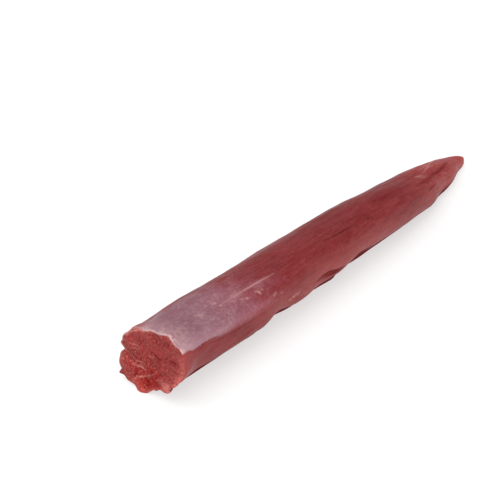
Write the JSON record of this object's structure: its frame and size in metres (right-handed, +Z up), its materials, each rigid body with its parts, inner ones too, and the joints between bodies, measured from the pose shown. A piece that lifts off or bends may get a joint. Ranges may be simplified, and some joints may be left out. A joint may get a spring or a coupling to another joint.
{
  "type": "lamb tenderloin",
  "caption": "Raw trimmed lamb tenderloin: one long muscle, cut across at the thick end, tapering to a thin tail, lying on a flat underside.",
  "frame": {"origin": "centre of the bounding box's base, on the surface that the meat lies on", "axes": "+X along the muscle from its cut end to its thin tail, +Z up, -Y towards the side with the bare red flank"},
  "size_m": [0.242, 0.0344, 0.0301],
  "materials": {
    "meat": "moist satin, deep red raw meat with a pale silverskin on top near the cut end"
  },
  "bodies": {
    "root": {"tenderloin": "meat"}
  },
  "joints": []
}
